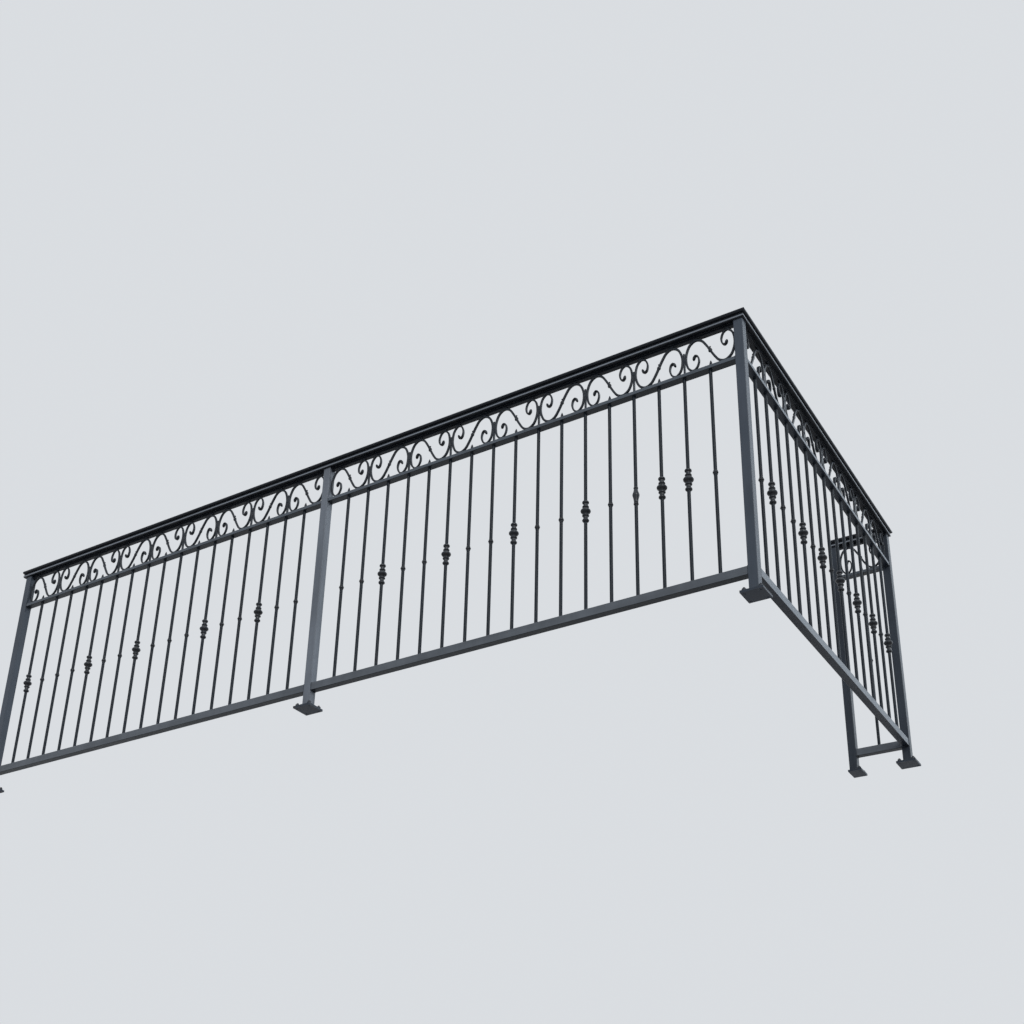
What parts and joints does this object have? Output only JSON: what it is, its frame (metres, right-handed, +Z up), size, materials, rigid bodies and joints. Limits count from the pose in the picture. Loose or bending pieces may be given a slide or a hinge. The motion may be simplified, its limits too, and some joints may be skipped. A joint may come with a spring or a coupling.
{
  "type": "iron balcony railing",
  "caption": "Wrought iron balcony railing round a corner: moulded handrail, scroll band, round bars with turned knuckles, square posts on base plates.",
  "frame": {"origin": "centre of the underside of the corner post's base plate, on the floor of the balcony", "axes": "+Z up; the front run goes from the corner along -X, the side run from the corner along +Y, and the short return at its far end back along -X to the wall"},
  "size_m": [3.544, 1.626, 1.07],
  "materials": {
    "post_paint": "satin blue-black paint",
    "rail_paint": "satin blue-black paint",
    "handrail_paint": "satin blue-black paint, worn a little shinier on top",
    "bar_paint": "satin blue-black paint",
    "casting_paint": "satin paint over cast iron",
    "scroll_paint": "satin paint over forged bar",
    "plate_paint": "satin paint"
  },
  "bodies": {
    "root": {"cap_front": "handrail_paint", "cap_side": "handrail_paint", "cap_return": "handrail_paint", "second_rail_bay1": "rail_paint", "second_rail_bay2": "rail_paint", "second_rail_side": "rail_paint", "second_rail_return": "rail_paint", "foot_rail_bay1": "rail_paint", "foot_rail_bay2": "rail_paint", "foot_rail_side": "rail_paint", "foot_rail_return": "rail_paint", "post_corner": "post_paint", "post_middle": "post_paint", "post_end": "post_paint", "post_far": "post_paint", "post_wall": "post_paint", "base_plate_corner": "plate_paint", "base_plate_middle": "plate_paint", "base_plate_end": "plate_paint", "base_plate_far": "plate_paint", "base_plate_wall": "plate_paint", "bars_bay1": "bar_paint", "bars_bay2": "bar_paint", "bars_side": "bar_paint", "bars_return": "bar_paint", "knuckles_bay1": "casting_paint", "knuckles_bay2": "casting_paint", "knuckles_side": "casting_paint", "slim_knuckle": "casting_paint", "collars_bay1": "casting_paint", "collars_bay2": "casting_paint", "collars_side": "casting_paint", "collars_return": "casting_paint", "scrolls_bay1": "scroll_paint", "scrolls_bay2": "scroll_paint", "scrolls_side": "scroll_paint", "scrolls_return": "scroll_paint", "ties_bay1": "scroll_paint", "ties_bay2": "scroll_paint", "ties_side": "scroll_paint", "spikes_bay1": "scroll_paint", "spikes_bay2": "scroll_paint", "spikes_side": "scroll_paint", "spikes_return": "scroll_paint"}
  },
  "joints": []
}
